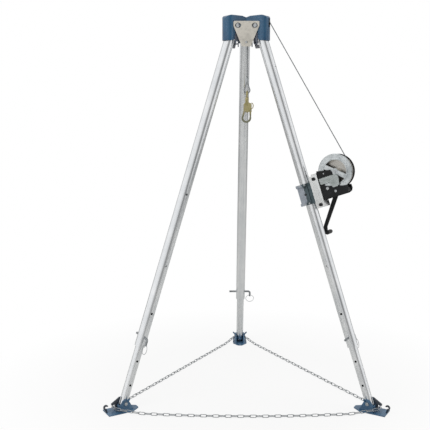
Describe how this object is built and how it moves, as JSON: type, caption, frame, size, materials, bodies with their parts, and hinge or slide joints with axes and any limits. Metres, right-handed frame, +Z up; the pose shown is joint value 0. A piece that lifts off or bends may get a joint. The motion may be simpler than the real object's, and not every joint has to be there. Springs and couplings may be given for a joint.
{
  "type": "rescue tripod",
  "caption": "Folding rescue tripod with telescoped aluminium legs, hinged feet, a foot chain, a cable winch on a leg, head sheaves and a swivel snap hook.",
  "frame": {"origin": "on the ground under the axis of the head", "axes": "+Z up, front towards -Y, the winch leg towards +X and -Y, the plain front leg towards -X and -Y, the back leg towards +Y"},
  "size_m": [1.5278, 1.3544, 2.0852],
  "materials": {
    "blue_paint": "gloss",
    "leg_tube": "satin",
    "bare_aluminium": "satin",
    "zinc_steel": "satin",
    "plate_steel": "satin",
    "black_paint": "satin",
    "black_plastic": "satin",
    "sheave_steel": "satin",
    "nylon": "matte",
    "grey_casting": "satin",
    "wire_rope": "satin",
    "gold_zinc": "satin",
    "chain_zinc": "satin",
    "gear_steel": "oiled"
  },
  "bodies": {
    "head": {"head_shell": "blue_paint", "keystone_front": "plate_steel", "keystone_left": "plate_steel", "keystone_right": "plate_steel", "anchor_eyes": "grey_casting", "hinge_bolts": "zinc_steel", "hinge_nuts": "zinc_steel", "outer_sheave_axle": "zinc_steel", "centre_sheave_axle": "zinc_steel", "line_over_head": "wire_rope", "line_drop": "wire_rope"},
    "leg_left": {"upper_leg_left": "leg_tube", "lower_leg_left": "leg_tube", "leg_bush_left": "nylon", "top_plug_left": "bare_aluminium", "foot_bolt_left": "zinc_steel", "chain_left": "chain_zinc"},
    "leg_right": {"upper_leg_right": "leg_tube", "lower_leg_right": "leg_tube", "leg_bush_right": "nylon", "top_plug_right": "bare_aluminium", "foot_bolt_right": "zinc_steel", "chain_right": "chain_zinc", "saddle": "grey_casting", "clamp": "grey_casting", "clamp_bolts": "zinc_steel", "mount_channel": "bare_aluminium", "winch_base": "zinc_steel", "mount_bolts": "black_paint", "winch_frame": "black_paint", "keeper_bar": "grey_casting", "frame_bolts": "zinc_steel", "drum_axle": "zinc_steel", "line_to_winch": "wire_rope"},
    "leg_back": {"upper_leg_back": "leg_tube", "lower_leg_back": "leg_tube", "leg_bush_back": "nylon", "top_plug_back": "bare_aluminium", "foot_bolt_back": "zinc_steel", "chain_back": "chain_zinc"},
    "foot_left": {"foot_left": "blue_paint"},
    "foot_right": {"foot_right": "blue_paint"},
    "foot_back": {"foot_back": "blue_paint"},
    "pin_left": {"lock_pin_left": "zinc_steel"},
    "pin_right": {"lock_pin_right": "zinc_steel"},
    "pin_back": {"lock_pin_back": "zinc_steel"},
    "drum": {"drum": "zinc_steel", "drum_gear": "gear_steel", "wire_winding": "wire_rope"},
    "crank": {"crank_shaft": "gear_steel", "crank_arm": "black_paint"},
    "grip": {"crank_grip": "black_plastic"},
    "outer_sheave": {"outer_sheave": "sheave_steel"},
    "centre_sheave": {"centre_sheave": "sheave_steel"},
    "line_end": {"line_eye": "zinc_steel", "swivel_eye": "gold_zinc"},
    "hook": {"snap_hook": "gold_zinc", "gate_pin": "zinc_steel"},
    "gate": {"hook_gate": "gold_zinc"}
  },
  "joints": [
    {"name": "leg_right_fold", "type": "hinge", "parent": "head", "child": "leg_right", "pos_m": [0.06928, -0.04, 2.03018], "axis": [0.5, 0.866, 0], "range_deg": [0, 16], "deforming": ["chain_right", "line_to_winch"]},
    {"name": "leg_left_fold", "type": "hinge", "parent": "head", "child": "leg_left", "pos_m": [-0.06928, -0.04, 2.03018], "axis": [0.5, -0.866, 0], "range_deg": [0, 16], "deforming": ["chain_left"]},
    {"name": "leg_back_fold", "type": "hinge", "parent": "head", "child": "leg_back", "pos_m": [0, 0.08, 2.03018], "axis": [-1, 0, 0], "range_deg": [0, 16], "deforming": ["chain_back"]},
    {"name": "foot_left_tilt", "type": "hinge", "parent": "leg_left", "child": "foot_left", "pos_m": [-0.65426, -0.37773, 0.046], "axis": [0.5, -0.866, 0], "range_deg": [-10, 15]},
    {"name": "foot_right_tilt", "type": "hinge", "parent": "leg_right", "child": "foot_right", "pos_m": [0.65426, -0.37773, 0.046], "axis": [0.5, 0.866, 0], "range_deg": [-10, 15]},
    {"name": "foot_back_tilt", "type": "hinge", "parent": "leg_back", "child": "foot_back", "pos_m": [0, 0.75547, 0.046], "axis": [-1, 0, 0], "range_deg": [-10, 15]},
    {"name": "pin_left_pull", "type": "slide", "parent": "leg_left", "child": "pin_left", "axis": [0.5, -0.866, 0], "range_m": [0, 0.105]},
    {"name": "pin_right_pull", "type": "slide", "parent": "leg_right", "child": "pin_right", "axis": [0.5, 0.866, 0], "range_m": [0, 0.105]},
    {"name": "pin_back_pull", "type": "slide", "parent": "leg_back", "child": "pin_back", "axis": [1, 0, 0], "range_m": [0, 0.105]},
    {"name": "drum_spin", "type": "hinge", "parent": "leg_right", "child": "drum", "pos_m": [0.46622, -0.26917, 1.26718], "axis": [-0.5, -0.866, 0], "range_deg": [-100, 900]},
    {"name": "crank_spin", "type": "hinge", "parent": "leg_right", "child": "crank", "pos_m": [0.47094, -0.2719, 1.21345], "axis": [-0.5, -0.866, 0], "continuous": true},
    {"name": "grip_spin", "type": "hinge", "parent": "crank", "child": "grip", "pos_m": [0.44506, -0.17151, 0.9265], "axis": [-0.5, -0.866, 0], "continuous": true},
    {"name": "outer_sheave_spin", "type": "hinge", "parent": "head", "child": "outer_sheave", "pos_m": [0.11085, -0.064, 2.04318], "axis": [-0.5, -0.866, 0], "continuous": true},
    {"name": "centre_sheave_spin", "type": "hinge", "parent": "head", "child": "centre_sheave", "pos_m": [0.02252, -0.013, 2.04318], "axis": [-0.5, -0.866, 0], "continuous": true},
    {"name": "hook_drop", "type": "slide", "parent": "head", "child": "line_end", "axis": [0, 0, -1], "range_m": [-0.14, 1.26], "deforming": ["line_drop"]},
    {"name": "hook_swivel", "type": "hinge", "parent": "line_end", "child": "hook", "pos_m": [0.00866, -0.005, 1.574], "axis": [0, 0, 1], "continuous": true},
    {"name": "gate_open", "type": "hinge", "parent": "hook", "child": "gate", "pos_m": [0.02766, -0.005, 1.58], "axis": [0, 1, 0], "range_deg": [0, 20], "stiffness_Nm_per_rad": 0.12, "springref_deg": -14.32}
  ],
  "couplings": [
    {"joint": "leg_left_fold", "follows": "leg_right_fold", "ratio": 1},
    {"joint": "leg_back_fold", "follows": "leg_right_fold", "ratio": 1},
    {"joint": "crank_spin", "follows": "drum_spin", "ratio": -2.8571},
    {"joint": "outer_sheave_spin", "follows": "drum_spin", "ratio": 5},
    {"joint": "centre_sheave_spin", "follows": "drum_spin", "ratio": 5},
    {"joint": "hook_drop", "follows": "drum_spin", "m_per_rad": 0.08}
  ]
}
